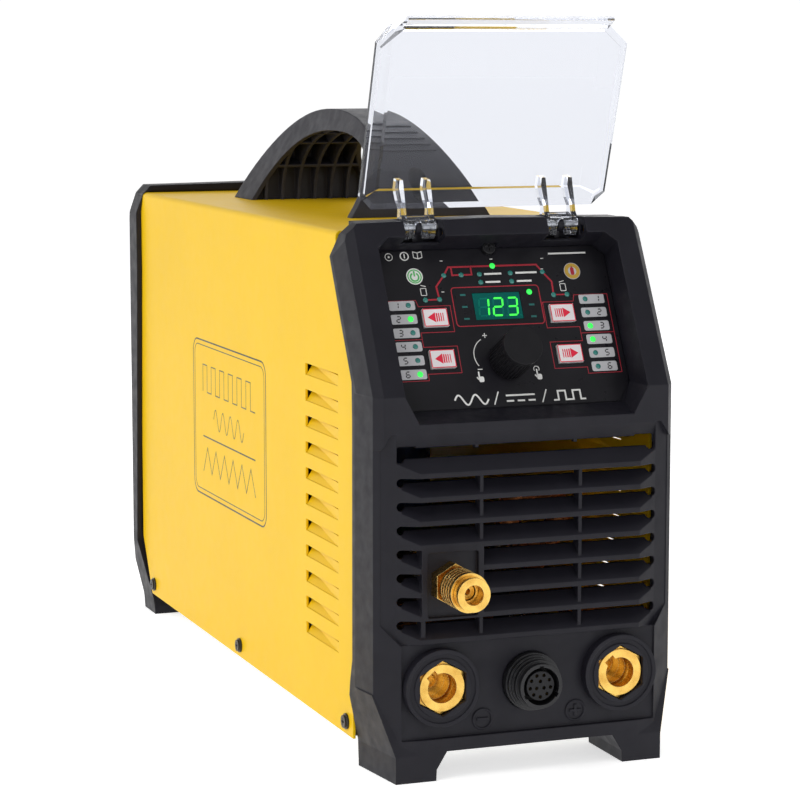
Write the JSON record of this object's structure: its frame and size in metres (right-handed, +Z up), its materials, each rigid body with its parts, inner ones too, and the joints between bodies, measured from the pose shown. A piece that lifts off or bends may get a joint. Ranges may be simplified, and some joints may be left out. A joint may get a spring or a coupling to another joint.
{
  "type": "tig welding machine",
  "caption": "Portable TIG welding inverter in a louvred yellow steel case with black moulded ends, carrying handle, hinged clear lid over a control panel, sockets and gas coupler.",
  "frame": {"origin": "on the floor, under the middle of the bounding box", "axes": "+X to the right as seen from the front, +Y from the front panel to the rear, +Z up"},
  "size_m": [0.146, 0.456, 0.3305],
  "materials": {
    "black_plastic": "fine-grained moulded",
    "grey_plastic": "fine-grained moulded",
    "yellow_paint": "glossy powder coat",
    "zinc_steel": "zinc plated",
    "black_steel": "blackened",
    "overlay_film": "printed satin film",
    "green_window": "tinted",
    "key_white": "printed film",
    "knob_plastic": "satin",
    "dark_plastic": "satin",
    "light_plastic": "satin",
    "circuit_board": "solder mask",
    "clear_plastic": "polished",
    "brass": "turned",
    "copper": "rolled",
    "copper_wire": "enamelled",
    "black_anodised": "semi-gloss",
    "switch_red": "moulded",
    "hose_rubber": "smooth",
    "raw_aluminium": "extruded",
    "capacitor_sleeve": "shrink sleeve",
    "ferrite": "sintered"
  },
  "bodies": {
    "machine": {"front_bezel": "black_plastic", "rear_bezel": "black_plastic", "cover": "yellow_paint", "base_tray": "zinc_steel", "handle": "grey_plastic", "handle_screws": "black_steel", "cover_screws": "black_steel", "rear_screws": "black_steel", "panel_plate": "black_plastic", "panel_overlay": "overlay_film", "panel_screw": "black_steel", "display_window": "green_window", "display_module": "dark_plastic", "encoder_body": "dark_plastic", "encoder_nut": "zinc_steel", "control_board": "circuit_board", "key_switches": "dark_plastic", "lid_pins": "zinc_steel", "socket_left_housing": "black_plastic", "socket_left_insert": "brass", "socket_right_housing": "black_plastic", "socket_right_insert": "brass", "socket_nuts": "brass", "bus_bars": "copper", "control_socket_shell": "black_anodised", "control_socket_insert": "dark_plastic", "control_socket_contacts": "brass", "control_socket_nut": "zinc_steel", "coupler_body": "brass", "coupler_nut": "brass", "power_switch_housing": "dark_plastic", "cable_gland": "dark_plastic", "cable_gland_nut": "dark_plastic", "gas_inlet": "brass", "gas_valve": "dark_plastic", "gas_hose": "hose_rubber", "fan_frame": "dark_plastic", "fan_screws": "black_steel", "main_board": "circuit_board", "board_pillars": "zinc_steel", "heatsinks": "raw_aluminium", "capacitors": "capacitor_sleeve", "transformer_core": "ferrite", "transformer_windings": "copper_wire", "ignition_coil": "copper_wire"},
    "lid": {"lid": "clear_plastic"},
    "encoder_plunger": {"encoder_plunger": "light_plastic"},
    "encoder_knob": {"encoder_knob": "knob_plastic", "encoder_shaft": "zinc_steel"},
    "coupler_sleeve": {"coupler_sleeve": "brass"},
    "coupler_valve": {"coupler_valve": "brass"},
    "power_switch": {"power_switch_rocker": "switch_red"},
    "fan_rotor": {"fan_rotor": "dark_plastic"},
    "key_upper_left": {"key_upper_left": "key_white"},
    "key_lower_left": {"key_lower_left": "key_white"},
    "key_upper_right": {"key_upper_right": "key_white"},
    "key_lower_right": {"key_lower_right": "key_white"}
  },
  "joints": [
    {"name": "lid_hinge", "type": "hinge", "parent": "machine", "child": "lid", "pos_m": [0, -0.1503, 0.238], "axis": [1, 0, 0], "range_deg": [-4, 132.4]},
    {"name": "key_upper_left_press", "type": "slide", "parent": "machine", "child": "key_upper_left", "axis": [0, 0.8902, -0.4555], "range_m": [0, 0.0004], "stiffness_N_per_m": 400},
    {"name": "key_lower_left_press", "type": "slide", "parent": "machine", "child": "key_lower_left", "axis": [0, 0.8902, -0.4555], "range_m": [0, 0.0004], "stiffness_N_per_m": 400},
    {"name": "key_upper_right_press", "type": "slide", "parent": "machine", "child": "key_upper_right", "axis": [0, 0.8902, -0.4555], "range_m": [0, 0.0004], "stiffness_N_per_m": 400},
    {"name": "key_lower_right_press", "type": "slide", "parent": "machine", "child": "key_lower_right", "axis": [0, 0.8902, -0.4555], "range_m": [0, 0.0004], "stiffness_N_per_m": 400},
    {"name": "encoder_push", "type": "slide", "parent": "machine", "child": "encoder_plunger", "axis": [0, 0.8902, -0.4555], "range_m": [0, 0.0005], "stiffness_N_per_m": 1500},
    {"name": "encoder_turn", "type": "hinge", "parent": "encoder_plunger", "child": "encoder_knob", "pos_m": [0, -0.173, 0.17906], "axis": [0, 0.8902, -0.4555], "continuous": true},
    {"name": "coupler_sleeve_slide", "type": "slide", "parent": "machine", "child": "coupler_sleeve", "axis": [0, 1, 0], "range_m": [0, 0.003], "stiffness_N_per_m": 800},
    {"name": "coupler_valve_slide", "type": "slide", "parent": "machine", "child": "coupler_valve", "axis": [0, 1, 0], "range_m": [0, 0.002], "stiffness_N_per_m": 400},
    {"name": "power_switch_rock", "type": "hinge", "parent": "machine", "child": "power_switch", "pos_m": [0.04, 0.195, 0.192], "axis": [1, 0, 0], "range_deg": [0, 20]},
    {"name": "fan_spin", "type": "hinge", "parent": "machine", "child": "fan_rotor", "pos_m": [0, 0.183, 0.1], "axis": [0, 1, 0], "continuous": true}
  ]
}
